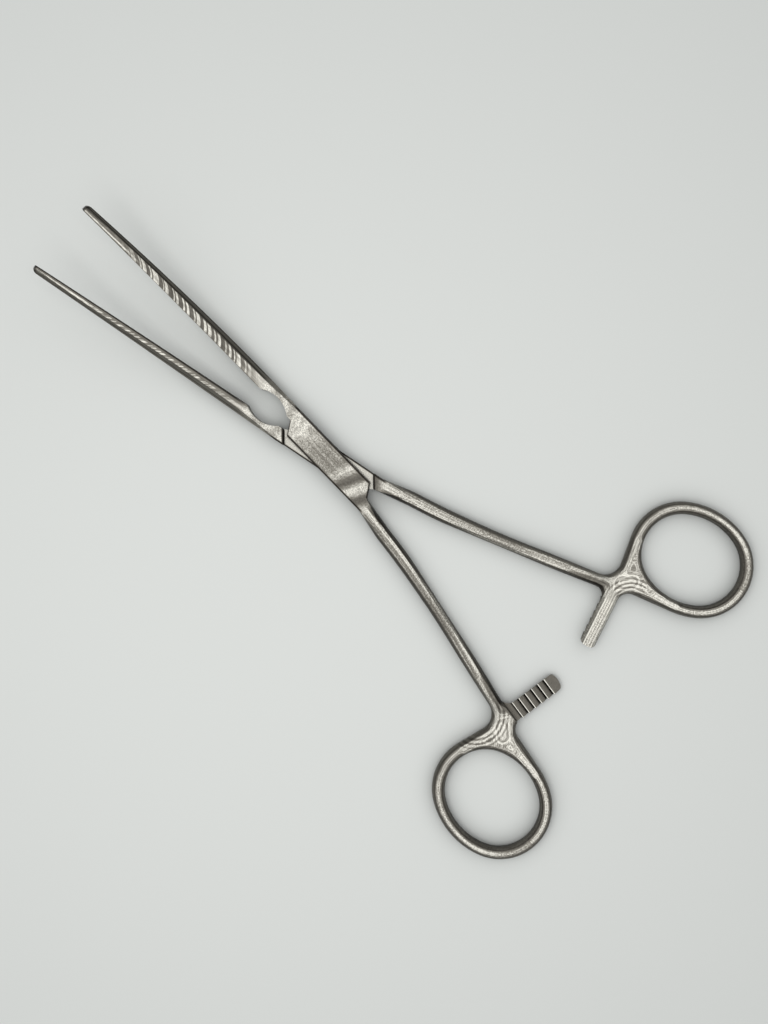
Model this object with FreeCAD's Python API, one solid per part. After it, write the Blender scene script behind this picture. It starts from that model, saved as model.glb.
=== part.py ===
# Intestinal forceps, 20 cm: two forged halves that cross in a box lock and turn on one pin.
# Frame: millimetres. Z is the pivot axis and points up, z = 0 is the lower face of the box, and
# +X runs from the pivot along the middle line to the jaw tips. The jaws curve up, towards +Z.
# Each half is drawn closed, with its inner jaw face on the middle line, and is then turned open
# about the pivot to the angle at which the instrument lies.

import FreeCAD, Part
import math
import os

Vector = FreeCAD.Vector
UP = Vector(0, 0, 1)
ORIGIN = Vector(0, 0, 0)

# Opening of the jaws
rest_opening = 12.0          # degrees between the jaws as the instrument lies
full_opening = 40.0          # degrees at which the tongue meets the side walls of the box

# Box lock
box_thickness = 5.4          # across both cheeks and the tongue
box_half_width = 3.6         # pivot to each long side
box_reach = 14.6             # pivot to where jaw or shank leaves the box, on the middle line
step_slant = 2.5             # how far the end of a cheek slants back over its width
shoulder_gap = 0.12          # between a cheek's end and the shoulder of the male half
middle_gap = 0.05            # each half stands this far off the middle line when closed
tongue_thickness = 2.2       # the part of the male half that passes between the cheeks
tongue_half_width = 3.55     # where it comes out of the box
side_wall = 1.05             # thickness of the walls that join the cheeks
slot_taper = 5.6             # length over which the slot narrows to its end
lock_gap = 0.05              # running clearance over, under and at the stops of the tongue
wall_gap = 0.1               # between the tongue and the side walls when closed
pin_radius = 1.5
pin_gap = 0.03               # radial running clearance of the tongue on the pin

# Jaws
jaw_reach = 87.9             # pivot to the tips, measured level
jaw_curve = 165.0            # radius of the upward curve
jaw_heel_x = 27.0            # where the clamping face starts
jaw_middle_x = 58.0
female_jaw_widths = (3.75, 3.3, 1.9)     # at the heel, the middle and the tip
male_jaw_widths = (3.35, 2.6, 1.7)
jaw_heights = (4.8, 4.1, 3.4)
jaw_bevel_width = 1.2        # bevel along both long corners of the back, seen from above
jaw_bevel_drop = 1.35        # and seen from the side
jaw_root_bevel = 0.3         # the same bevel where the jaw leaves the box
groove_count = 5             # lengthwise grooves in each clamping face
groove_depth = 0.3
groove_share = 0.8           # of the clamping face's height that the grooves take up
groove_land = 0.12           # flat ridge between two grooves, as a share of their spacing
neck_depth = 1.75            # hollow in the inner side between box and clamping face
neck_length = 10.2
neck_start = 1.3             # from the end of the box to the start of the hollow
tip_corner_round = 1.2       # outer corner of the tip, seen from above
tip_edge_round = 0.9         # upper and lower corners of the tip, seen from the side

# Shanks: centre line when closed, from the box to the web before the ring
handle_thickness = 3.9
shank_root = (-24.1, 3.5)
shank_bend = (-33.0, 4.5)
shank_waist_share = 0.515    # of the way from the bend to the end of the shank
shank_waist_out = 7.55       # pivot line to the shank's middle at the waist
shank_end_out = 10.9         # and at its end
shank_root_width = 4.0
shank_waist_width = 3.3
shank_end_width = 3.75
rim_depth = 1.5              # width of the oval rim round shanks, rings and ratchet arms
rim_flats = 8                # narrow flats that the rim is ground in, from top to bottom
rim_clear = 0.5              # by which the rim's cutting tool reaches past the outline

# Finger rings, inside sizes, when closed
ring_behind = 11.0           # from the ratchet arms back to the ring's centre
ring_out = 31.7              # pivot line to the ring's centre
ring_half_length = 13.65
ring_half_width = 11.5
ring_side_band = 3.3
ring_end_band = 3.6
ring_tilt = 3.0              # degrees that the long axis leans outward
ring_fullness = 0.65         # 0 gives the end arcs the sharpest bend of an ellipse, 1 a circle's
web_ahead = 2.9              # from the ratchet arms forward to the corner of shank and ring
web_out = 15.9               # pivot line to that corner, before it is rounded
web_round = 4.5

# Ratchet
ratchet_reach = 84.5         # pivot to the middle of the arms
shank_end_ahead = 18.5       # from the ratchet arms forward to the end of the shank
ratchet_lean = 7.3           # degrees by which the arms lean back towards the rings
ratchet_past = 3.1           # how far each arm reaches past the middle line when closed
female_arm = (-2.1, 2.8)     # front and rear side of the arm, from its centre line
male_arm = (-2.2, 2.2)
arm_front_root = 12.7        # along the arm, from the middle line to the corner before the arm
arm_front_round = 2.6
arm_rear_root = 14.6         # along the arm, from the middle line to the corner behind the arm
arm_rear_round = 3.2
arm_end_round = 1.3          # corners at the free end of an arm
arm_end_bulge = 0.55         # rise of the curved free end
arm_level_root = 12.6        # along the arm, from the middle line to the start of the toothed level
tooth_count = 6
tooth_pitch = 2.1
tooth_depth = 0.75
tooth_land = 0.2             # flat top of a tooth
tooth_lean = 0.15            # run of the steep face
tooth_lead = 3.2             # plain ramp between the last tooth and the free end
ratchet_gap = 0.1            # between the two rows of teeth when they pass

GENTLE = None
gentle_share = 0.46          # of the shorter run, used up by a gentle arc on each side

mid_z = box_thickness / 2
shank_end_x = shank_end_ahead - ratchet_reach
shank_end = (shank_end_x, shank_end_out)
shank_waist = (shank_bend[0] + (shank_end_x - shank_bend[0]) * shank_waist_share, shank_waist_out)
margin = 2.0                 # by which a cutting tool overshoots
tiny = 1e-6


def turned(shape, degrees):
    copy = shape.copy()
    copy.rotate(ORIGIN, UP, degrees)
    return copy


def flipped(shape):
    """Turn half a turn about the lengthwise axis through the middle of the box."""
    copy = shape.copy()
    copy.rotate(Vector(0, 0, mid_z), Vector(1, 0, 0), 180)
    return copy


def half_turn(points):
    return [(-x, -y) for x, y in points]


def prism(points, z_low, z_high):
    corners = [Vector(x, y, z_low) for x, y in points]
    wire = Part.makePolygon(corners + corners[:1])
    return Part.Face(wire).extrude(Vector(0, 0, z_high - z_low))


def segment(start, end):
    return Part.LineSegment(start, end).toShape()


def arc_about(centre, start, end, towards):
    """Arc from start to end about a centre, bulging in the given direction."""
    radius = (start - centre).Length
    return Part.Arc(start, centre + towards.normalize() * radius, end).toShape()


def rounded_path(points):
    """Straight runs through (x, y, radius) points, with an arc at each inner one.

    A radius of GENTLE stands for the largest arc that leaves both runs a short straight piece.
    """
    ends = [Vector(points[0][0], points[0][1], 0)]
    edges = []
    for before, here, after in zip(points, points[1:], points[2:]):
        corner = Vector(here[0], here[1], 0)
        to_before = Vector(before[0], before[1], 0) - corner
        to_after = Vector(after[0], after[1], 0) - corner
        half = to_before.getAngle(to_after) / 2
        largest = gentle_share * min(to_before.Length, to_after.Length) * math.tan(half)
        radius = largest if here[2] is GENTLE else here[2]
        to_before.normalize()
        to_after.normalize()
        start = corner + to_before * (radius / math.tan(half))
        end = corner + to_after * (radius / math.tan(half))
        bisector = (to_before + to_after).normalize()
        middle = corner + bisector * (radius / math.sin(half) - radius)
        edges.append(segment(ends[-1], start))
        edges.append(Part.Arc(start, middle, end).toShape())
        ends.append(end)
    edges.append(segment(ends[-1], Vector(points[-1][0], points[-1][1], 0)))
    return edges


# Finger ring and web

class Oval:
    """A four-arc oval round the ring's centre, tilted with the ring."""

    def __init__(self, half_length, half_width):
        tilt = math.radians(ring_tilt)
        self.along = Vector(-math.cos(tilt), math.sin(tilt), 0)
        self.out = Vector(math.sin(tilt), math.cos(tilt), 0)
        centre = Vector(-ratchet_reach - ring_behind, ring_out, 0)
        sharpest = half_width ** 2 / half_length
        self.end_radius = sharpest + (half_width - sharpest) * ring_fullness
        shift = half_length - self.end_radius
        rest = half_width - self.end_radius
        self.side_radius = (shift ** 2 + half_width ** 2 - self.end_radius ** 2) / (2 * rest)
        reach = self.side_radius - half_width
        self.near = centre - self.along * shift
        self.far = centre + self.along * shift
        self.inner = centre + self.out * reach
        self.outer = centre - self.out * reach

    def joint(self, side, end):
        """Point where the side arc about one centre meets the end arc about another."""
        return side + (end - side).normalize() * self.side_radius


def short_arc(centre, start, end):
    bulge = (start - centre).normalize() + (end - centre).normalize()
    return arc_about(centre, start, end, bulge)


def ring_hole():
    """Edges of the finger hole."""
    oval = Oval(ring_half_length, ring_half_width)
    near_in = oval.joint(oval.inner, oval.near)
    near_out = oval.joint(oval.outer, oval.near)
    far_out = oval.joint(oval.outer, oval.far)
    far_in = oval.joint(oval.inner, oval.far)
    return [arc_about(oval.near, near_in, near_out, oval.along * -1),
            arc_about(oval.outer, near_out, far_out, oval.out * 1),
            arc_about(oval.far, far_out, far_in, oval.along * 1),
            arc_about(oval.inner, far_in, near_in, oval.out * -1)]


def tangent_point(point, centre, radius, side):
    """Where a line from a point touches a circle, to the left (1) or right (-1) of the centre."""
    away = centre - point
    heading = math.atan2(away.y, away.x) + math.asin(radius / away.Length) * side
    reach = math.sqrt(away.Length ** 2 - radius ** 2)
    return point + Vector(math.cos(heading), math.sin(heading), 0) * reach


# Shank

def shank_heading():
    run = Vector(shank_bend[0] - shank_root[0], shank_bend[1] - shank_root[1], 0)
    return run.normalize()


def shank_side(side):
    """One long side of the shank as (x, y, radius) points; side 1 is the outer one, -1 the inner."""
    centres = [shank_root, shank_bend, shank_waist, shank_end]
    widths = [shank_root_width, shank_root_width, shank_waist_width, shank_end_width]
    befores = [shank_root] + centres[:-1]
    points = []
    for before, here, width in zip(befores, centres, widths):
        run = Vector(here[0] - before[0], here[1] - before[1], 0)
        heading = run.normalize() if run.Length else shank_heading()
        points.append((here[0] + heading.y * side * width / 2,
                       here[1] - heading.x * side * width / 2, GENTLE))
    return points


# Ratchet arm

def arm_point(along, across):
    """A point of the arm: along it, counted from the middle line, and across it to the rear."""
    lean = math.radians(ratchet_lean)
    forward = Vector(-math.sin(lean), -math.cos(lean), 0)
    rearward = Vector(-math.cos(lean), math.sin(lean), 0)
    return Vector(-ratchet_reach, 0, 0) + forward * along + rearward * across


def arm_end_waste(arm):
    """What is trimmed off the square end of an arm to leave a bowed end with round corners."""
    front, rear = arm
    start = ratchet_past - 2 * arm_end_round
    corner = ratchet_past - arm_end_bulge
    outline = [(start, rear, 0), (corner, rear, arm_end_round), (ratchet_past, (front + rear) / 2, GENTLE),
               (corner, front, arm_end_round), (start, front, 0)]
    path = []
    for along, across, radius in outline:
        point = arm_point(along, across)
        path.append((point.x, point.y, radius))
    first = Vector(path[0][0], path[0][1], 0)
    last = Vector(path[-1][0], path[-1][1], 0)
    kept = Part.Face(Part.Wire(rounded_path(path) + [segment(last, first)]))
    corners = [arm_point(start, rear), arm_point(ratchet_past + margin, rear),
               arm_point(ratchet_past + margin, front), arm_point(start, front)]
    block = prism([(point.x, point.y) for point in corners], 0, box_thickness)
    return block.cut(kept.extrude(Vector(0, 0, box_thickness)))


def above_teeth(arm):
    """What is taken off one arm: all above its saw teeth, which rise steeply on the handle's side."""
    crest = mid_z - ratchet_gap / 2
    floor = crest - tooth_depth
    last = ratchet_past - tooth_lead
    top = mid_z + handle_thickness
    profile = [(-arm_level_root, top), (-arm_level_root, floor)]
    for number in range(tooth_count):
        place = last - tooth_pitch * (tooth_count - 1 - number)
        profile += [(place - tooth_lean, floor), (place, crest), (place + tooth_land, crest)]
    profile += [(ratchet_past, floor), (ratchet_past + margin, floor), (ratchet_past + margin, top)]
    front = arm[0] - margin
    rear = arm[1] + margin
    corners = []
    for along, height in profile:
        point = arm_point(along, front)
        corners.append(Vector(point.x, point.y, height))
    face = Part.Face(Part.makePolygon(corners + corners[:1]))
    return face.extrude(arm_point(0, rear) - arm_point(0, front))


# Handle: shank, web, ring and ratchet arm in one plate with an oval rim

def outer_run(arm):
    """Edges from the shank's root along its outer side, round the ring and along the arm's rear."""
    ring = Oval(ring_half_length + ring_end_band, ring_half_width + ring_side_band)
    web = Vector(web_ahead - ratchet_reach, web_out, 0)
    web_top = tangent_point(web, ring.near, ring.end_radius, -1)
    rear_root = arm_point(-arm_rear_root, arm[1])
    rear_end = arm_point(ratchet_past, arm[1])
    ring_foot = tangent_point(rear_root, ring.inner, ring.side_radius, 1)
    near_out = ring.joint(ring.outer, ring.near)
    far_out = ring.joint(ring.outer, ring.far)
    far_in = ring.joint(ring.inner, ring.far)
    edges = rounded_path(shank_side(1) + [(web.x, web.y, web_round), (web_top.x, web_top.y, 0)])
    edges.append(short_arc(ring.near, web_top, near_out))
    edges.append(arc_about(ring.outer, near_out, far_out, ring.out * 1))
    edges.append(arc_about(ring.far, far_out, far_in, ring.along * 1))
    edges.append(short_arc(ring.inner, far_in, ring_foot))
    return edges + rounded_path([(ring_foot.x, ring_foot.y, 0),
                                 (rear_root.x, rear_root.y, arm_rear_round),
                                 (rear_end.x, rear_end.y, 0)])


def inner_run(arm):
    """Edges from the arm's free end along its front and the shank's inner side to its root."""
    front_end = arm_point(ratchet_past, arm[0])
    front_root = arm_point(-arm_front_root, arm[0])
    return rounded_path([(front_end.x, front_end.y, 0),
                         (front_root.x, front_root.y, arm_front_round)] + shank_side(-1)[::-1])


def rim_points(inside, outward, height):
    """Corners of the rim's half oval from top to bottom, round a point rim_depth inside the outline."""
    points = []
    for number in range(rim_flats + 1):
        angle = math.pi * number / rim_flats
        points.append(inside + outward * (rim_depth * math.sin(angle))
                      + UP * (height / 2 * math.cos(angle)))
    return points


def rim_profile(point, outward):
    """What lies outside the oval rim at a point of the outline, above, beside and below it."""
    over = UP * (handle_thickness / 2 + rim_clear)
    inside = point - outward * rim_depth
    beside = point + outward * rim_clear
    corners = rim_points(inside, outward, handle_thickness)
    corners += [inside - over, beside - over, beside + over, inside + over, corners[0]]
    return Part.Face(Part.makePolygon(corners))


def rim_waste(edges, side):
    """The rim profile carried along each edge; side is 1 where the metal lies to its left."""
    waste = []
    for edge in edges:
        start = edge.valueAt(edge.FirstParameter)
        heading = edge.tangentAt(edge.FirstParameter)
        profile = rim_profile(start, Vector(heading.y, -heading.x, 0) * side)
        if hasattr(edge.Curve, "Radius"):
            sweep = math.degrees(edge.LastParameter - edge.FirstParameter) * edge.Curve.Axis.z
            waste.append(profile.revolve(edge.Curve.Center, UP, sweep))
        else:
            waste.append(profile.extrude(edge.valueAt(edge.LastParameter) - start))
    return waste


def handle(arm):
    """The handle on the +Y side when closed, with the teeth of its ratchet arm facing up."""
    outer = outer_run(arm)
    inner = inner_run(arm)
    arm_end = segment(outer[-1].valueAt(outer[-1].LastParameter), inner[0].valueAt(inner[0].FirstParameter))
    root = segment(inner[-1].valueAt(inner[-1].LastParameter), outer[0].valueAt(outer[0].FirstParameter))
    plate = Part.Face(Part.Wire(outer + [arm_end] + inner + [root])).extrude(UP * handle_thickness)
    plate = plate.cut(Part.Face(Part.Wire(ring_hole())).extrude(UP * handle_thickness))
    plate.translate(UP * (-handle_thickness / 2))
    plate = plate.cut(rim_waste(outer, 1) + rim_waste(inner, 1) + rim_waste(ring_hole(), -1))
    plate.translate(UP * mid_z)
    return plate.cut(arm_end_waste(arm)).cut(above_teeth(arm))


def oval_section(centre, sideways):
    """Upright section of the shank's root: flat above and below, with the rim on both sides."""
    right = centre + sideways * (shank_root_width / 2 - rim_depth)
    left = centre - sideways * (shank_root_width / 2 - rim_depth)
    points = rim_points(right, sideways, handle_thickness)
    points += rim_points(left, sideways * -1, handle_thickness)[::-1]
    return Part.makePolygon(points + points[:1])


def square_section(centre, sideways, width):
    """The end of the box with its two sides divided as the rim is."""
    points = []
    for side in (1, -1):
        edge = centre + sideways * (side * width / 2)
        for number in range(rim_flats + 1):
            points.append(edge + UP * (side * box_thickness * (0.5 - number / rim_flats)))
    return Part.makePolygon(points + points[:1])


def shank_blend():
    """From the square end of the box to the rounded start of the shank."""
    root = Vector(shank_root[0], shank_root[1], mid_z)
    heading = shank_heading()
    width = box_half_width - middle_gap
    start = Vector(-box_reach, middle_gap + width / 2, mid_z)
    square = square_section(start, Vector(0, 1, 0), width)
    oval = oval_section(root, Vector(heading.y, -heading.x, 0))
    return Part.makeLoft([square, oval], True, True)


# Jaw

def jaw_place(x):
    """Middle of the inner face at a level distance from the pivot, the way up there and the way on."""
    angle = math.asin((x - box_reach) / jaw_curve)
    place = Vector(x, middle_gap, mid_z + jaw_curve * (1 - math.cos(angle)))
    return place, Vector(-math.sin(angle), 0, math.cos(angle)), Vector(math.cos(angle), 0, math.sin(angle))


def jaw_section(x, width, height, bevel_width, bevel_drop):
    """Cross-section square to the upward curve: flat inner face and a back with two bevels."""
    place, rise, _ = jaw_place(x)
    top = height / 2
    outline = [(0, -top), (0, top), (width - bevel_width, top), (width, top - bevel_drop),
               (width, bevel_drop - top), (width - bevel_width, -top), (0, -top)]
    return Part.makePolygon([place + Vector(0, across, 0) + rise * up for across, up in outline])


def jaw_blade(widths):
    """The curved jaw on the +Y side, lofted through sections from the box to the tip."""
    root_width = box_half_width - middle_gap
    sections = [jaw_section(box_reach, root_width, box_thickness, jaw_root_bevel, jaw_root_bevel)]
    for x, width, height in zip((jaw_heel_x, jaw_middle_x, jaw_reach), widths, jaw_heights):
        sections.append(jaw_section(x, width, height, jaw_bevel_width, jaw_bevel_drop))
    return Part.makeLoft(sections, True, False)


def clamping_grooves():
    """Lengthwise V grooves, each along its own arc, so that they close up towards the tip."""
    heel, heel_rise, heel_on = jaw_place(jaw_heel_x)
    tip, tip_rise, _ = jaw_place(jaw_reach)
    pitch = groove_share / groove_count
    grooves = []
    for number in range(groove_count):
        share = (number + 0.5) * pitch - groove_share / 2
        start = heel + heel_rise * (share * jaw_heights[0])
        reach = tip + tip_rise * (share * jaw_heights[2]) - start
        radius = reach.Length ** 2 / (2 * reach.dot(heel_rise))
        sweep = math.degrees(2 * math.asin(reach.Length / (2 * radius)) + margin / radius)
        half = heel_rise * (pitch * (1 - groove_land) * jaw_heights[0] / 2)
        out = Vector(0, groove_depth, 0)
        clear = half + half * (middle_gap / groove_depth)
        away = out * (middle_gap / groove_depth)
        mouth = Part.makePolygon([start - clear - away, start + out, start + clear - away,
                                  start - clear - away])
        axis = start + heel_rise * radius
        grooves.append(Part.Face(mouth).revolve(axis, Vector(0, -1, 0), sweep))
    return grooves


def tip_waste(width):
    """What is ground off the square end of a jaw: its outer, upper and lower corners."""
    end, rise, forward = jaw_place(jaw_reach)
    across = Vector(0, 1, 0)
    height = jaw_heights[2]
    waste = []
    for corner, outward, radius, length in (
            (end + across * width, across, tip_corner_round, rise * height),
            (end + rise * (height / 2), rise, tip_edge_round, across * width),
            (end - rise * (height / 2), rise * -1, tip_edge_round, across * width)):
        start = corner - forward * radius
        side = corner - outward * radius
        centre = start - outward * radius
        beyond = [side, side + forward * margin, corner + (forward + outward) * margin,
                  start + outward * margin, start]
        edges = [segment(a, b) for a, b in zip(beyond, beyond[1:])]
        edges.append(arc_about(centre, start, side, forward + outward))
        tool = Part.Face(Part.Wire(edges)).extrude(length * 3)
        tool.translate(length * -1.5)
        waste.append(tool)
    return waste


def neck_hollow():
    """Round tool that hollows the inner side of the +Y jaw between the box and the clamping face."""
    radius = (neck_length ** 2 / 4 + neck_depth ** 2) / (2 * neck_depth)
    centre = Vector(box_reach + neck_start + neck_length / 2, neck_depth - radius, -margin)
    return Part.makeCylinder(radius, box_thickness + 2 * margin + neck_length, centre)


def jaw(widths):
    """Jaw on the +Y side with the given widths at heel, middle and tip."""
    waste = tip_waste(widths[2]) + clamping_grooves() + [neck_hollow()]
    return jaw_blade(widths).cut(waste)


# Box lock

wall_face = box_half_width - side_wall
step_outer = box_reach - step_slant


def slot_tool():
    """The space between the cheeks: the tongue can turn in it from closed to fully open."""
    stop = tongue_half_width + lock_gap
    lean = math.radians(90 + full_opening)
    beyond = box_half_width + margin

    def stop_x(y):
        return (stop - y * math.sin(lean)) / math.cos(lean)

    half = [(box_reach - slot_taper, -wall_face), (box_reach, -middle_gap),
            (box_reach + margin, -middle_gap), (box_reach + margin, beyond),
            (stop_x(beyond), beyond), (stop_x(wall_face), wall_face)]
    depth = tongue_thickness / 2 + lock_gap
    return prism(half + half_turn(half), mid_z - depth, mid_z + depth)


def female_box():
    """Two cheeks joined by the side walls and by the roots of jaw (-Y) and shank (+Y)."""
    half = [(box_reach, -box_half_width), (box_reach, -middle_gap), (step_outer, box_half_width)]
    block = prism(half + half_turn(half), 0, box_thickness)
    return block.cut(slot_tool())


def tongue():
    """The part of the male half inside the box: narrow behind the side walls, full width beyond."""
    narrow = wall_face - wall_gap
    wide = tongue_half_width
    reach = math.sqrt(wide ** 2 - narrow ** 2)
    taper = box_reach - slot_taper
    edges = []
    for sign in (1, -1):
        def at(x, y):
            return Vector(sign * x, sign * y, mid_z - tongue_thickness / 2)

        edges.append(segment(at(taper, -narrow), at(box_reach, middle_gap)))
        edges.append(segment(at(box_reach, middle_gap), at(box_reach, wide)))
        edges.append(segment(at(box_reach, wide), at(0, wide)))
        edges.append(arc_about(at(0, 0), at(0, wide), at(-reach, narrow),
                               at(0, wide) + at(-reach, narrow) - at(0, 0) * 2))
        edges.append(segment(at(-reach, narrow), at(-taper, narrow)))
    return Part.Face(Part.Wire(edges)).extrude(Vector(0, 0, tongue_thickness))


def male_shoulder():
    """Full-thickness wedge that meets the slanted ends of the cheeks when closed, on the jaw side."""
    wedge = [(box_reach, middle_gap), (box_reach, box_half_width),
             (step_outer + shoulder_gap, box_half_width)]
    return prism(wedge, 0, box_thickness)


def pin_hole(radius):
    return Part.makeCylinder(radius, box_thickness + 2 * margin, Vector(0, 0, -margin))


def female_half():
    """Box, jaw on the -Y side, handle on the +Y side with its ratchet teeth facing up."""
    other_jaw = jaw(female_jaw_widths).mirror(ORIGIN, Vector(0, 1, 0))
    solid = female_box().multiFuse([other_jaw, shank_blend(), handle(female_arm)])
    return solid.cut(pin_hole(pin_radius)).removeSplitter()


def male_half():
    """Tongue, jaw on the +Y side, handle on the -Y side with its ratchet teeth facing down."""
    rear = shank_blend().multiFuse([handle(male_arm)])
    shoulders = [male_shoulder(), turned(male_shoulder(), 180)]
    solid = tongue().multiFuse(shoulders + [jaw(male_jaw_widths), flipped(rear)])
    return solid.cut(pin_hole(pin_radius + pin_gap)).removeSplitter()


def joint_pin():
    return Part.makeCylinder(pin_radius, box_thickness)


def main():
    os.makedirs("parts", exist_ok=True)
    parts = {"female_half": turned(female_half(), -rest_opening / 2),
             "male_half": turned(male_half(), rest_opening / 2),
             "joint_pin": joint_pin()}
    for name, shape in parts.items():
        shape.exportStep("parts/" + name + ".step")
        print(name, "valid", shape.isValid(), "solids", len(shape.Solids),
              "volume %.1f mm3" % shape.Volume)


if __name__ == "__main__":
    main()
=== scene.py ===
import bpy
import math
from mathutils import Matrix, Vector

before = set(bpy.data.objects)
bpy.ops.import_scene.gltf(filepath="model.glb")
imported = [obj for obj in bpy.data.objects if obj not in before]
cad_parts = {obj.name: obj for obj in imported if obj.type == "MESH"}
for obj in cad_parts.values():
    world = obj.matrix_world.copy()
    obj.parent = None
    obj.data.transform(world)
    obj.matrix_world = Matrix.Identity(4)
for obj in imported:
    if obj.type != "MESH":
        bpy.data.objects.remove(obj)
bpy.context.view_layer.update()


# Table, light and camera
#
# The forceps lie on a plain pale sheet under soft light from a wide ceiling, seen from straight
# above. The room is bright overhead and dark low down, which gives the steel part of its contrast;
# the rest is painted into its colour as highlights, reflections and shade.

SHEET_HALF = 1.2                       # metres from the middle to each side
SHEET_COLOUR = (0.683, 0.705, 0.698)
SHEET_ROUGHNESS, SHEET_GLOSS = 0.85, 0.2
CONTACT_REACH = 0.006                  # metres from the steel over which a painted contact shadow darkens the sheet
CONTACT_SHADES = (0.25, 1.0, 0.68, 1.0)     # share of open sky, low and high, and the painted shade at each
CONTACT_RAYS = 12

WINDOW_PLACE = (0.0, 0.034, 0.30)
WINDOW_SIZE = (0.2, 0.2)
WINDOW_POWER = 0.37
WINDOW_COLOUR = (1.0, 0.99, 0.96)

# Brightness of the room by height: 0 is level with the table and 1 straight overhead.
ROOM_TONES = [(0.0, 0.40), (0.28, 0.48), (0.50, 1.05), (0.66, 1.45),
              (0.86, 1.75), (0.95, 2.0), (1.0, 2.05)]
ROOM_BLUE = 0.985                      # blue against red and green, for a slightly warm ceiling
ROOM_STRENGTH = 0.49
BACKDROP = (1.2, 1.2, 1.2, 1)

# The camera's place over the table in millimetres, and its turn in degrees.
MM = 0.001
CAMERA_OVER = (-20.34, 1.38)           # straight below the middle of the picture
CAMERA_HEIGHT = 312.7
CAMERA_ASIDE = 10.6                    # how far right of and above the picture's middle it stands
SCENE_WIDTH = 274.5                    # what the picture's long side takes in, at the forceps
IMAGE_TURN = 140.1
CAMERA_LENS, SENSOR_WIDTH = 40.65, 36
NEAREST_SEEN = 0.01


def add(tree, kind, inputs, **settings):
    """A shader node with its settings; an input takes a number, a colour or another node's output."""
    node = tree.nodes.new("ShaderNode" + kind)
    for name, value in settings.items():
        setattr(node, name, value)
    for key, value in inputs.items():
        if isinstance(value, bpy.types.NodeSocket):
            tree.links.new(value, node.inputs[key])
        else:
            node.inputs[key].default_value = value
    return node


def step(tree, value, low, high, start=0.0, end=1.0):
    """Smooth change from start to end while the value goes from low to high."""
    ends = {0: value, 1: low, 2: high, 3: start, 4: end}
    return add(tree, "MapRange", ends, interpolation_type="SMOOTHSTEP").outputs[0]


def darkened(tree, colour, shade):
    """The colour times a shade from 0 to 1."""
    grey = add(tree, "CombineColor", {0: shade, 1: shade, 2: shade}).outputs[0]
    return add(tree, "Mix", {0: 1.0, 6: colour, 7: grey}, data_type="RGBA", blend_type="MULTIPLY").outputs[2]


def shade_curve(tree, value, points, interpolation="LINEAR"):
    """Reads a value from 0 to 1 off a curve of shades or colours through the given points."""
    ramp = add(tree, "ValToRGB", {0: value})
    ramp.color_ramp.interpolation = interpolation
    for position, shade in points[1:-1]:
        ramp.color_ramp.elements.new(position)
    for element, (position, shade) in zip(ramp.color_ramp.elements, points):
        element.position = position
        element.color = (*shade, 1) if isinstance(shade, tuple) else (shade, shade, shade, 1)
    return ramp.outputs[0]


def new_material(name):
    material = bpy.data.materials.new(name)
    material.use_nodes = True
    return material, material.node_tree, material.node_tree.nodes["Principled BSDF"]


sheet_material, sheet_tree, sheet_shader = new_material("pale_sheet")
# Painted contact shadow: the sheet's own colour darkens where the steel hides the sky close by.
open_sky = add(sheet_tree, "AmbientOcclusion", {"Distance": CONTACT_REACH}, samples=CONTACT_RAYS)
painted_contact_shadow = step(sheet_tree, open_sky.outputs["AO"], *CONTACT_SHADES)
sheet_colour = darkened(sheet_tree, (*SHEET_COLOUR, 1), painted_contact_shadow)
sheet_tree.links.new(sheet_colour, sheet_shader.inputs["Base Color"])
sheet_shader.inputs["Roughness"].default_value = SHEET_ROUGHNESS
sheet_shader.inputs["Specular IOR Level"].default_value = SHEET_GLOSS

table_mesh = bpy.data.meshes.new("table")
corners = [(-SHEET_HALF, -SHEET_HALF, 0), (SHEET_HALF, -SHEET_HALF, 0),
           (SHEET_HALF, SHEET_HALF, 0), (-SHEET_HALF, SHEET_HALF, 0)]
table_mesh.from_pydata(corners, [], [(0, 1, 2, 3)])
table_mesh.materials.append(sheet_material)
table = bpy.data.objects.new("table", table_mesh)
bpy.context.scene.collection.objects.link(table)

# The window's light shapes the shadows and isn't mirrored in the steel.
window_data = bpy.data.lights.new("window", "AREA")
window_data.shape = "RECTANGLE"
window_data.size, window_data.size_y = WINDOW_SIZE
window_data.energy = WINDOW_POWER
window_data.color = WINDOW_COLOUR
window = bpy.data.objects.new("window", window_data)
bpy.context.scene.collection.objects.link(window)
window.location = WINDOW_PLACE
window.rotation_euler = Vector(WINDOW_PLACE).to_track_quat("Z", "Y").to_euler()
window.visible_camera = False
window.visible_glossy = False

room = bpy.data.worlds.new("room")
bpy.context.scene.world = room
room.use_nodes = True
room_tree = room.node_tree
heading = add(room_tree, "TexCoord", {}).outputs["Generated"]
height = add(room_tree, "SeparateXYZ", {0: heading}).outputs["Z"]
ceiling_tones = [(position, (tone, tone, tone * ROOM_BLUE)) for position, tone in ROOM_TONES]
ceiling = shade_curve(room_tree, height, ceiling_tones, "EASE")
seen = add(room_tree, "LightPath", {}).outputs["Is Camera Ray"]
room_colour = add(room_tree, "Mix", {0: seen, 6: ceiling, 7: BACKDROP}, data_type="RGBA").outputs[2]
room_light = room_tree.nodes["Background"]
room_tree.links.new(room_colour, room_light.inputs["Color"])
room_light.inputs["Strength"].default_value = ROOM_STRENGTH

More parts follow.
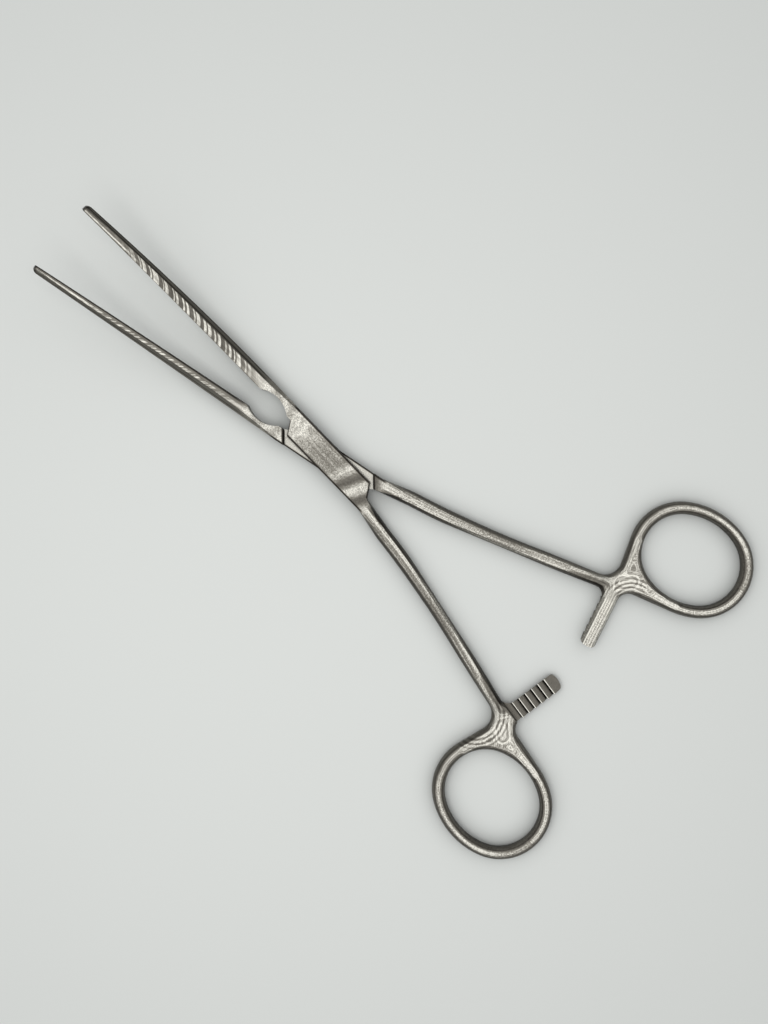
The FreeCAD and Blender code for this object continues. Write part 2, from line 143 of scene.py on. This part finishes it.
turn = math.radians(IMAGE_TURN)
image_right = Vector((math.cos(turn), -math.sin(turn), 0))
image_up = Vector((math.sin(turn), math.cos(turn), 0))
camera_data = bpy.data.cameras.new("camera")
camera_data.sensor_width = SENSOR_WIDTH
camera_data.lens = CAMERA_LENS
camera_data.clip_start = NEAREST_SEEN
camera_data.shift_x = camera_data.shift_y = -CAMERA_ASIDE / SCENE_WIDTH
camera = bpy.data.objects.new("camera", camera_data)
bpy.context.scene.collection.objects.link(camera)
stand = Vector((*CAMERA_OVER, CAMERA_HEIGHT)) + (image_right + image_up) * CAMERA_ASIDE
camera_place = Matrix.Identity(4)
camera_place.col[0][:3] = image_right
camera_place.col[1][:3] = image_up
camera_place.col[2][:3] = (0, 0, 1)
camera_place.translation = stand * MM
camera.matrix_world = camera_place
bpy.context.scene.camera = camera
bpy.context.scene.view_settings.view_transform = "Standard"


# Both halves
#
# Each half is forged and ground from one bar of stainless steel, then brushed to a satin finish.
# The grinding follows the shape, so its lines run along jaw, shank, ring and ratchet arm.

# Sizes are millimetres on the closed half, with the pin at 0, the jaw's tip at 88, and the ring and the
# arm on the positive side. A pair called a fade is where a change starts and where it ends. Four
# numbers called shades are such a fade and the shade at each of its ends.
TO_MM = 1000
HALF_OPENING = math.radians(6.0)         # how far each half is turned from its closed place
SHANK_FROM, SHANK_OUT = -24.1, 3.5       # where the middle of the shank starts
SHANK_LEAN, SHANK_BEND = 0.10, 0.0019
SHANK_DEPTH, SHANK_END = 1.85, -85.0
RING_CENTRE = (-95.5, 31.7)
RING_RADII = (15.45, 13.15)
RING_MEAN = sum(RING_RADII) / 2
RING_TILT = math.radians(-3.0)
RING_FULLNESS = 2.12                     # 2 is a plain oval, and more is squarer
RING_DEPTH = 1.75
ARM_BACK, ARM_ROOT = -84.5, 16.5         # where the arm's middle meets the closing line, and its root
ARM_LEAN = math.radians(7.3)
ARM_DEPTH = 2.25
# The web where they meet is filled by straight runs with round ends: start, end and half width.
WEB_RUNS = [((-83.6, 16.6), (-85.4, 18.0), 4.0), ((-82.6, 19.0), (-80.9, 28.0), 2.1),
            ((-88.0, 17.4), (-98.4, 19.2), 2.0)]
RING_BLEND, WEB_BLEND, ARM_BLEND = 6.0, 2.0, 4.0     # how softly each runs into the rest
RING_FADE = (-76.0, -82.0)
ARM_SIDE_FADE, ARM_FRONT_FADE = (14.0, 10.0), (-78.0, -80.0)


def maths(tree, operation, *values):
    return add(tree, "Math", dict(enumerate(values)), operation=operation).outputs[0]


def times(tree, first, second):
    return maths(tree, "MULTIPLY", first, second)


def less(tree, first, second):
    return maths(tree, "SUBTRACT", first, second)


def scaled(tree, value, gain, start):
    """What the value gives when it is multiplied by the gain and added to the start."""
    return maths(tree, "MULTIPLY_ADD", value, gain, start)


def mixed(tree, share, first, second):
    """The first value where the share is 0, and the second where it is 1."""
    return add(tree, "Mix", {0: share, 2: first, 3: second}).outputs[0]


def vector_maths(tree, operation, *values):
    return add(tree, "VectorMath", dict(enumerate(values)), operation=operation).outputs


def new_group(name, inputs, outputs):
    """An empty node group, what it is given and what it puts out."""
    group = bpy.data.node_groups.new(name, "ShaderNodeTree")
    for side, sockets in (("INPUT", inputs), ("OUTPUT", outputs)):
        for socket in sockets:
            kind = "NodeSocketVector" if socket == "Place" else "NodeSocketFloat"
            group.interface.new_socket(socket, in_out=side, socket_type=kind)
    return group, group.nodes.new("NodeGroupInput").outputs, group.nodes.new("NodeGroupOutput").inputs


def place_group(tree, group, inputs):
    return add(tree, "Group", inputs, node_tree=group).outputs


def flat_offset(tree, place, start):
    """The way from a start to a place, seen from above."""
    offset = vector_maths(tree, "SUBTRACT", place, (*start, 0))[0]
    return vector_maths(tree, "MULTIPLY", offset, (1, 1, 0))[0]


def run_depth(tree, place, start, end, half_width):
    """How deep a place lies inside a straight run with round ends."""
    run = Vector(end) - Vector(start)
    offset = flat_offset(tree, place, start)
    travel = vector_maths(tree, "DOT_PRODUCT", offset, (*(run / run.length_squared), 0))["Value"]
    share = add(tree, "Clamp", {0: travel}).outputs[0]
    foot = add(tree, "VectorMath", {0: (*run, 0), "Scale": share}, operation="SCALE").outputs[0]
    away = vector_maths(tree, "DISTANCE", offset, foot)["Value"]
    return less(tree, half_width, away)


# How deep a place lies inside the handle's outline, how far along it, and how far to the side of the
# shank's middle. The outline takes in shank, ring, web and ratchet arm.
handle_lines, given, result = new_group("handle_lines", ["Place"], ["Depth", "Along", "Aside"])
tree = handle_lines
axes = add(tree, "SeparateXYZ", {0: given["Place"]}).outputs

past = less(tree, SHANK_FROM, axes["X"])
rise = scaled(tree, past, SHANK_BEND, SHANK_LEAN)
off_middle = less(tree, axes["Y"], scaled(tree, past, rise, SHANK_OUT))
beyond = maths(tree, "MAXIMUM", less(tree, SHANK_END, axes["X"]), 0.0)
shank_depth = less(tree, less(tree, SHANK_DEPTH, maths(tree, "ABSOLUTE", off_middle)), beyond)

ring_place = add(tree, "Mapping", {"Vector": given["Place"], "Location": (*RING_CENTRE, 0),
                                   "Rotation": (0, 0, RING_TILT),
                                   "Scale": (*RING_RADII, 1)}, vector_type="TEXTURE").outputs[0]
ring_axes = add(tree, "SeparateXYZ", {0: ring_place}).outputs
powers = [maths(tree, "POWER", maths(tree, "ABSOLUTE", ring_axes[axis]), RING_FULLNESS) for axis in "XY"]
ring_share = maths(tree, "POWER", maths(tree, "ADD", *powers), 1 / RING_FULLNESS)
off_ring = maths(tree, "ABSOLUTE", less(tree, ring_share, 1.0))
ring_depth = scaled(tree, off_ring, -RING_MEAN, RING_DEPTH)
round_ring = times(tree, maths(tree, "ARCTAN2", ring_axes["Y"], ring_axes["X"]), RING_MEAN)

behind = times(tree, less(tree, axes["X"], ARM_BACK), -math.cos(ARM_LEAN))
off_arm = maths(tree, "ABSOLUTE", scaled(tree, axes["Y"], math.sin(ARM_LEAN), behind))
too_far = maths(tree, "MAXIMUM", less(tree, axes["Y"], ARM_ROOT), 0.0)
arm_depth = less(tree, less(tree, ARM_DEPTH, off_arm), too_far)

depth = maths(tree, "SMOOTH_MAX", shank_depth, ring_depth, RING_BLEND)
for start, end, half_width in WEB_RUNS:
    web_depth = run_depth(tree, given["Place"], start, end, half_width)
    depth = maths(tree, "SMOOTH_MAX", depth, web_depth, WEB_BLEND)
depth = maths(tree, "SMOOTH_MAX", depth, arm_depth, ARM_BLEND)
on_arm = times(tree, step(tree, axes["Y"], *ARM_SIDE_FADE), step(tree, axes["X"], *ARM_FRONT_FADE))
along = mixed(tree, step(tree, axes["X"], *RING_FADE), axes["X"], round_ring)
tree.links.new(depth, result["Depth"])
tree.links.new(mixed(tree, on_arm, along, axes["Y"]), result["Along"])
tree.links.new(off_middle, result["Aside"])

# Fine brushing along one direction, and the speckle of a tumbled surface.
LINE_STRETCH = 0.05
LINE_NOISE = {"Scale": 1.0, "Detail": 2.0, "Roughness": 0.6}
LINE_FADE = (0.3, 0.7)
SPECKLE_NOISE = {"Scale": 3.2, "Detail": 2.0, "Roughness": 0.7}
SPECKLE_FADE = (0.32, 0.68)
brushing, given, result = new_group("brushing", ["Along", "Across", "Up", "Fineness"], ["Lines", "Speckle"])
tree = brushing
stretched = add(tree, "CombineXYZ", {0: times(tree, given["Along"], LINE_STRETCH),
                                     1: times(tree, given["Across"], given["Fineness"]),
                                     2: times(tree, given["Up"], given["Fineness"])}).outputs[0]
lines = add(tree, "TexNoise", {"Vector": stretched, **LINE_NOISE}).outputs[0]
even = add(tree, "CombineXYZ", {0: given["Along"], 1: given["Across"], 2: given["Up"]}).outputs[0]
speckle = add(tree, "TexNoise", {"Vector": even, **SPECKLE_NOISE}).outputs[0]
tree.links.new(step(tree, lines, *LINE_FADE), result["Lines"])
tree.links.new(step(tree, speckle, *SPECKLE_FADE), result["Speckle"])

# Bands of painted reflection, as a wavy polished surface mirrors the room, one after the other: the share
# of a band that a place has reached, and noise patches that make bands brighter or duller. A band leans by
# its slant and curves by its bend.
DRIFT_ACROSS = 0.35
DRIFT_NOISE = {"Scale": 0.3, "Detail": 1.0, "Roughness": 0.5}
PATCH_NOISE = {"Scale": 0.7, "Detail": 2.0, "Roughness": 0.6}
PATCH_SHADES = (0.35, 0.65, 0.72, 1.0)
painted_reflection_bands, given, result = new_group("painted_reflection_bands",
                                       ["Along", "Across", "Spacing", "Slant", "Bend", "Unevenness"],
                                       ["Share", "Patches"])
tree = painted_reflection_bands
leaning = scaled(tree, given["Across"], given["Bend"], given["Slant"])
slanted = scaled(tree, given["Across"], leaning, given["Along"])
across = times(tree, given["Across"], DRIFT_ACROSS)
flat = add(tree, "CombineXYZ", {0: slanted, 1: across, 2: 0.0}).outputs[0]
drift = add(tree, "TexNoise", {"Vector": flat, **DRIFT_NOISE}).outputs[0]
shifted = scaled(tree, less(tree, drift, 0.5), given["Unevenness"], slanted)
patchy = add(tree, "TexNoise", {"Vector": flat, **PATCH_NOISE}).outputs[0]
tree.links.new(maths(tree, "FRACT", maths(tree, "DIVIDE", shifted, given["Spacing"])), result["Share"])
tree.links.new(step(tree, patchy, *PATCH_SHADES), result["Patches"])

# Tones of the handle, from 0 for black to 1 for the brightest steel, with a painted highlight along its
# middle and painted shade on its flanks: from its outline to TONE_DEPTH inside it, and from the shank's
# inner side to its outer side, SHANK_WIDTH away.
TONE_DEPTH, SHANK_WIDTH = 2.25, 3.7
OUTLINE_TONES = [(0.0, 0.06), (0.06, 0.36), (0.18, 0.47), (0.34, 0.28), (0.46, 0.45), (0.57, 0.64),
                 (0.64, 0.96), (0.76, 0.90), (1.0, 0.90)]
FEMALE_SHANK_TONES = [(0.0, 0.06), (0.05, 0.28), (0.12, 0.12), (0.19, 0.60), (0.25, 1.0), (0.40, 0.96),
                      (0.48, 0.62), (0.62, 0.50), (0.72, 0.68), (0.82, 0.50), (0.90, 0.20), (1.0, 0.20)]
MALE_SHANK_TONES = [(0.0, 0.10), (0.05, 0.45), (0.10, 0.16), (0.16, 0.66), (0.24, 0.95), (0.42, 0.84),
                    (0.60, 0.72), (0.78, 0.66), (0.86, 0.55), (0.92, 0.18), (1.0, 0.22)]
SHANK_FADE = (-74.0, -66.0)
HANDLE_FINENESS = 2.2
HANDLE_LINES, HANDLE_SPECKLE = (0.55, 0.62), (0.62, 0.70)     # contrast and lowest share

# The arcs on the web keep to a strip along its corner.
ARC_NEAR_FADE, ARC_FAR_FADE = (0.9, 1.6), (6.0, 3.5)
ARC_FRONT_FADE, ARC_SIDE_FADE = (-75.0, -79.0), (11.0, 13.0)
ARC_END_LENGTH = 3.0
ARC_SPACING = 1.2
ARC_TONES = (0.42, 0.95)                 # contrast and level

ARM_LINE_SPACING = 0.72
ARM_LINE_TONES = (0.30, 0.98)            # contrast and level
ARM_LINE_SIDE_FADE, ARM_LINE_FRONT_FADE = (14.0, 11.5), (-79.0, -81.0)
# Painted shade at the very edge of the arm's sides.
ARM_EDGE_SHADES = (0.05, 0.4, 0.3, 1.0)

# From one saw tooth to the next, along the arm: a painted highlight on the crest, a ramp of painted shade
# that darkens, and a black step of painted shadow.
TOOTH_TONES = [(0.0, 0.55), (0.02, 1.0), (0.10, 1.0), (0.14, 0.44), (0.60, 0.36), (0.84, 0.16),
               (0.90, 0.03), (0.98, 0.03), (1.0, 0.55)]
LAST_TOOTH, TOOTH_PITCH = -0.1, 2.1
FREE_END_FADE, ROOT_FADE = (0.1, 0.25), (-5.25, -5.35)     # in teeth
BARE_ARM_TONE = 0.34
TOOTH_SPECKLE = (0.25, 0.88)             # contrast and lowest share
TOOTHED_FRONT_FADE, TOOTHED_SIDE_FADE = (-78.5, -79.5), (12.9, 12.6)
TOOTHED_FACE_FADE = (0.3, 0.6)


def web_arcs(tree, here, x, y, half):
    """Curved grinding lines round the web's corner."""
    away = vector_maths(tree, "LENGTH", flat_offset(tree, here, half["corner"]))["Value"]
    off_edge = less(tree, away, half["corner_radius"])
    near = times(tree, step(tree, off_edge, *ARC_NEAR_FADE), step(tree, off_edge, *ARC_FAR_FADE))
    near = times(tree, near, step(tree, x, *ARC_FRONT_FADE))
    near = times(tree, near, step(tree, y, *ARC_SIDE_FADE))
    near = times(tree, near, step(tree, x, half["arcs_end"] - ARC_END_LENGTH, half["arcs_end"]))
    waves = maths(tree, "SINE", times(tree, off_edge, math.tau / ARC_SPACING))
    return scaled(tree, times(tree, waves, near), *ARC_TONES)


def arm_lines(tree, x, y, depth):
    """Straight lines along the ratchet arm, with painted shade only at the very edge of its sides."""
    off_arm = scaled(tree, y, -math.tan(ARM_LEAN), x)
    ridges = maths(tree, "SINE", times(tree, off_arm, math.tau / ARM_LINE_SPACING))
    return times(tree, scaled(tree, ridges, *ARM_LINE_TONES), step(tree, depth, *ARM_EDGE_SHADES))


def tooth_tone(tree, x, y, speckle):
    """The arm's saw teeth, painted as lit crests and shaded steps, between its free end and its root."""
    sideways = times(tree, less(tree, x, ARM_BACK), -math.sin(ARM_LEAN))
    travel = scaled(tree, y, -math.cos(ARM_LEAN), sideways)
    tooth = maths(tree, "DIVIDE", less(tree, travel, LAST_TOOTH), TOOTH_PITCH)
    teeth = shade_curve(tree, maths(tree, "FRACT", tooth), TOOTH_TONES)
    bare = maths(tree, "MAXIMUM", step(tree, tooth, *FREE_END_FADE), step(tree, tooth, *ROOT_FADE))
    teeth = mixed(tree, bare, teeth, BARE_ARM_TONE)
    return times(tree, teeth, scaled(tree, speckle, *TOOTH_SPECKLE))


def handle_tone(tree, here, axes, facing, half):
    """Painted highlight along the middle and painted shade on the sides, with grinding lines that follow the
    outline.
    """
    x, y = axes["X"], axes["Y"]
    handle = place_group(tree, handle_lines, {"Place": here})
    fine = place_group(tree, brushing, {"Along": handle["Along"], "Across": handle["Depth"],
                                        "Up": axes["Z"], "Fineness": HANDLE_FINENESS})
    outline = shade_curve(tree, maths(tree, "DIVIDE", handle["Depth"], TONE_DEPTH), OUTLINE_TONES)
    across = scaled(tree, handle["Aside"], 1 / SHANK_WIDTH, 0.5)
    shank = shade_curve(tree, across, half["shank_tones"])
    tone = mixed(tree, step(tree, x, *SHANK_FADE), outline, shank)
    tone = times(tree, tone, web_arcs(tree, here, x, y, half))
    if half["mirrored"]:
        on_arm = times(tree, step(tree, y, *ARM_LINE_SIDE_FADE), step(tree, x, *ARM_LINE_FRONT_FADE))
        tone = mixed(tree, on_arm, tone, arm_lines(tree, x, y, handle["Depth"]))
    tone = times(tree, tone, scaled(tree, fine["Lines"], *HANDLE_LINES))
    tone = times(tree, tone, scaled(tree, fine["Speckle"], *HANDLE_SPECKLE))
    toothed = times(tree, step(tree, x, *TOOTHED_FRONT_FADE), step(tree, y, *TOOTHED_SIDE_FADE))
    toothed = times(tree, toothed, step(tree, facing, *TOOTHED_FACE_FADE))
    return mixed(tree, toothed, tone, tooth_tone(tree, x, y, fine["Speckle"]))


# The box: the female half's plate has slanted bands of painted reflection by the shank and a mottled
# end by the jaw, and the male half's tongue is an even grey lower down. Its edges and the plate's end
# get a dark line of painted shade and shadow.
BOX_REACH, BOX_SLANT = 14.66, 0.69       # end of the box on the middle line, and its slant
BAND_MARKS = {"Spacing": 6.4, "Slant": -0.5, "Bend": 0.0, "Unevenness": 2.0}
BAND_TONES = (0.68, 0.27)                # contrast and lowest tone, here and in the next two
PLAIN_TONES = (0.16, 0.45)
TONGUE_TONES = (0.12, 0.73)
CLOUD_NOISE = {"Scale": 0.33, "Detail": 2.0, "Roughness": 0.6}
CLOUD_SHADES = (0.3, 0.7, 0.60, 0.98)
CLOUD_FADE, BAND_FADE, TONGUE_FADE = (2.0, 12.0), (-1.0, -7.0), (4.6, 4.3)
BOX_SPECKLE = (0.55, 0.75)               # contrast and lowest share
BOX_EDGE_FADE, BOX_EDGE_ENDS, BOX_END_FADE = (3.0, 3.3), (17.0, 15.5), (0.5, 0.2)
CORNER_FADE = (0.0, 1.0)                 # keeps the end's painted shadow line to the two corners that show
BOX_EDGE_TONES = (-0.93, 1.0)            # painted shade: almost black on an edge, unchanged elsewhere


def box_tone(tree, here, axes, fine, half):
    """Broad slanted bands of painted reflection towards the shank, mottled towards the jaw, and painted
    shade along the edges.
    """
    x, y = axes["X"], axes["Y"]
    marks = place_group(tree, painted_reflection_bands, {"Along": x, "Across": y, **BAND_MARKS})
    wave = maths(tree, "SINE", times(tree, marks["Share"], math.tau))
    wave = scaled(tree, wave, 0.5, 0.5)
    bands = scaled(tree, times(tree, wave, marks["Patches"]), *BAND_TONES)
    plain = scaled(tree, fine["Lines"], *PLAIN_TONES)
    cloud = add(tree, "TexNoise", {"Vector": here, **CLOUD_NOISE}).outputs[0]
    tone = mixed(tree, step(tree, x, *CLOUD_FADE), plain, step(tree, cloud, *CLOUD_SHADES))
    tone = mixed(tree, step(tree, x, *BAND_FADE), tone, bands)
    tone = times(tree, tone, scaled(tree, fine["Speckle"], *BOX_SPECKLE))
    if half["mirrored"]:
        tongue = scaled(tree, fine["Speckle"], *TONGUE_TONES)
        tone = mixed(tree, step(tree, axes["Z"], *TONGUE_FADE), tone, tongue)

    # Painted shade and shadow: a dark line along the plate's edges and across its end.
    side = maths(tree, "ABSOLUTE", y)
    length = maths(tree, "ABSOLUTE", x)
    edge = times(tree, step(tree, side, *BOX_EDGE_FADE), step(tree, length, *BOX_EDGE_ENDS))
    past_end = scaled(tree, side, BOX_SLANT, less(tree, length, BOX_REACH))
    off_end = maths(tree, "ABSOLUTE", past_end)
    corner = times(tree, times(tree, x, y), -1.0 if half["mirrored"] else 1.0)
    end = times(tree, step(tree, off_end, *BOX_END_FADE), step(tree, corner, *CORNER_FADE))
    dark = maths(tree, "MAXIMUM", edge, end)
    return times(tree, tone, scaled(tree, dark, *BOX_EDGE_TONES))


# Tones across the jaw's back, with a painted highlight along its ridge and painted shade on its bevels
# and edges, from its outer side to the clamping side, then near its tip, and then from one band of painted
# reflection to the next.
FEMALE_JAW_TONES = [(0.0, 0.10), (0.08, 0.42), (0.16, 0.34), (0.23, 0.10), (0.28, 0.06), (0.35, 1.0),
                    (0.93, 0.95), (1.0, 0.12)]
MALE_JAW_TONES = [(0.0, 0.62), (0.08, 0.50), (0.12, 0.12), (0.20, 0.50), (0.38, 0.46), (0.45, 1.0),
                  (0.66, 1.0), (0.70, 0.44), (0.84, 0.40), (0.89, 0.06), (1.0, 0.05)]
TIP_TONES = [(0.0, 0.36), (0.30, 0.10), (0.38, 0.48), (0.58, 0.50), (0.66, 0.44), (0.72, 0.98),
             (0.82, 0.94), (0.88, 0.38), (1.0, 0.14)]
MARK_TONES = [(0.0, 0.30), (0.06, 1.0), (0.32, 1.0), (0.38, 0.36), (0.48, 0.42), (0.52, 0.95),
              (0.62, 1.0), (0.68, 0.30), (0.85, 0.36), (1.0, 0.30)]
JAW_MARKS = {"Slant": -1.6, "Bend": -3.2, "Unevenness": 3.0}
JAW_HEEL = 27.0                          # where the clamping face starts
HEEL_TONE, HEEL_FADE = 0.72, (26.0, 38.0)
# TIP_SHADES paints shade over the very end of the tip.
TIP_FADE, TIP_SHADES = (66.0, 78.0), (87.2, 86.4, 0.3, 1.0)
# Painted shade on the dark lines and bevels across the back.
BACK_FADE, BEVEL_FADE = (0.4, 0.9), (0.9, 0.5)
JAW_LINES = (0.35, 0.8)                  # contrast and lowest share


def jaw_tone(tree, axes, fine, half):
    """Curved bands of painted reflection on the back, lengthwise painted highlight and shade towards the
    tip, and painted shade on the bevels.
    """
    x = axes["X"]
    heel_width, narrowing, rounding = half["jaw_width"]
    past_heel = less(tree, x, JAW_HEEL)
    narrower = times(tree, past_heel, scaled(tree, past_heel, rounding, narrowing))
    width = less(tree, heel_width, narrower)
    inside = times(tree, maths(tree, "DIVIDE", axes["Y"], width), -1.0)
    side = less(tree, 1.0, inside)
    marks = place_group(tree, painted_reflection_bands, {"Along": x, "Across": inside, "Spacing": half["mark_spacing"],
                                            **JAW_MARKS})
    patches = times(tree, shade_curve(tree, marks["Share"], MARK_TONES), marks["Patches"])
    streaks = shade_curve(tree, side, half["tip_tones"])
    patches = maths(tree, "MAXIMUM", patches, times(tree, streaks, half["streak_share"]))
    tone = mixed(tree, step(tree, x, *TIP_FADE), patches, streaks)
    tone = mixed(tree, step(tree, x, *HEEL_FADE), HEEL_TONE, tone)

    across = shade_curve(tree, side, half["jaw_tones"])
    tone = times(tree, tone, step(tree, across, *BACK_FADE))
    tone = maths(tree, "MAXIMUM", tone, times(tree, across, step(tree, across, *BEVEL_FADE)))
    tone = times(tree, tone, step(tree, x, *TIP_SHADES))
    return times(tree, tone, scaled(tree, fine["Lines"], *JAW_LINES))


# The steel's colour by tone, how its gloss and its relief follow, and the painted shade in its creases.
STEEL_SHADES = [(0.0, (0.018, 0.015, 0.012)), (0.5, (0.285, 0.268, 0.235)), (1.0, (0.99, 0.965, 0.885))]
STEEL_ROUGHNESS = (0.42, 0.24)           # where it is dark, and where it is bright
STEEL_FINENESS = 1.6
HANDLE_FADE, JAW_FADE = (-15.0, -18.5), (21.0, 30.0)
WALL_FADE, WALL_TONES = (0.92, 0.55), (-0.5, 1.0)     # painted shade: upright walls are half as bright
CREASE_SHADE_REACH, CREASE_SHADE_RAYS = 0.0006, 6
CREASE_SHADES = (0.4, 0.95, 0.08, 1.0)
TONE_RELIEF, SPECKLE_RELIEF = 0.6, 0.4
RELIEF_DEPTH = 0.00006


def closed_place(tree, mirrored):
    """Place on the closed half in millimetres, with the ring on the positive side."""
    point = add(tree, "TexCoord", {}).outputs["Object"]
    scale = (TO_MM, -TO_MM if mirrored else TO_MM, TO_MM)
    return add(tree, "Mapping", {"Vector": point, "Scale": scale,
                                 "Rotation": (0, 0, HALF_OPENING)}).outputs[0]


def satin_steel(name, half):
    """Brushed steel whose tones, mostly painted highlights, reflections and shade, follow the jaw, the box
    and the handle of one half.
    """
    material, tree, shader = new_material(name)
    here = closed_place(tree, half["mirrored"])
    axes = add(tree, "SeparateXYZ", {0: here}).outputs
    normal = add(tree, "NewGeometry", {}).outputs["Normal"]
    up = add(tree, "SeparateXYZ", {0: normal}).outputs["Z"]
    facing = times(tree, up, -1.0 if half["mirrored"] else 1.0)
    fine = place_group(tree, brushing, {"Along": axes["X"], "Across": axes["Y"], "Up": axes["Z"],
                                        "Fineness": STEEL_FINENESS})

    box = box_tone(tree, here, axes, fine, half)
    handle = handle_tone(tree, here, axes, facing, half)
    jaw = jaw_tone(tree, axes, fine, half)
    tone = mixed(tree, step(tree, axes["X"], *HANDLE_FADE), box, handle)
    tone = mixed(tree, step(tree, axes["X"], *JAW_FADE), tone, jaw)
    # Painted shade on upright walls.
    walls = step(tree, maths(tree, "ABSOLUTE", up), *WALL_FADE)
    tone = times(tree, tone, scaled(tree, walls, *WALL_TONES))

    # Painted shade in creases: the colour darkens where the steel hides the sky close by.
    creases = add(tree, "AmbientOcclusion", {"Distance": CREASE_SHADE_REACH}, samples=CREASE_SHADE_RAYS).outputs["AO"]
    crease_shade = step(tree, creases, *CREASE_SHADES)
    colour = darkened(tree, shade_curve(tree, tone, STEEL_SHADES), crease_shade)
    tree.links.new(colour, shader.inputs["Base Color"])
    tree.links.new(step(tree, tone, 0.0, 1.0, *STEEL_ROUGHNESS), shader.inputs["Roughness"])
    shader.inputs["Metallic"].default_value = 1.0
    relief = scaled(tree, tone, TONE_RELIEF, times(tree, fine["Speckle"], SPECKLE_RELIEF))
    bump = add(tree, "Bump", {"Height": relief, "Distance": RELIEF_DEPTH, "Strength": 1.0}).outputs[0]
    tree.links.new(bump, shader.inputs["Normal"])
    return material


# What is each half's own: the web's corner and where its arcs end, the tones, and the jaw's width at its
# heel, how fast it narrows there, and how much faster towards the tip. The male half is laid out as the
# female half's mirror image, with its teeth facing down and its lined arm facing up.
HALVES = {
    "female_half": {"mirrored": False, "corner": (-76.1, 19.4), "corner_radius": 4.5, "arcs_end": -110.0,
                    "shank_tones": FEMALE_SHANK_TONES, "jaw_width": (3.75, 0.0, 0.00052),
                    "jaw_tones": FEMALE_JAW_TONES, "tip_tones": TIP_TONES, "streak_share": 0.0,
                    "mark_spacing": 3.7},
    "male_half": {"mirrored": True, "corner": (-89.0, 12.2), "corner_radius": 3.2, "arcs_end": -88.5,
                  "shank_tones": MALE_SHANK_TONES, "jaw_width": (3.35, 0.025, 0.00004),
                  "jaw_tones": MALE_JAW_TONES, "tip_tones": MALE_JAW_TONES, "streak_share": 0.5,
                  "mark_spacing": 2.6},
}
for node_name, finish in HALVES.items():
    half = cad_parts[node_name]
    half.data.materials.clear()
    half.data.materials.append(satin_steel("satin_steel_" + node_name, finish))


# Joint pin
#
# A plain steel pin through both cheeks of the box and the tongue between them. Its ends are ground
# flush with the cheeks and brushed with them, so it takes the female half's finish.

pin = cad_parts["joint_pin"]
pin.data.materials.clear()
pin.data.materials.append(satin_steel("satin_steel_pin", HALVES["female_half"]))
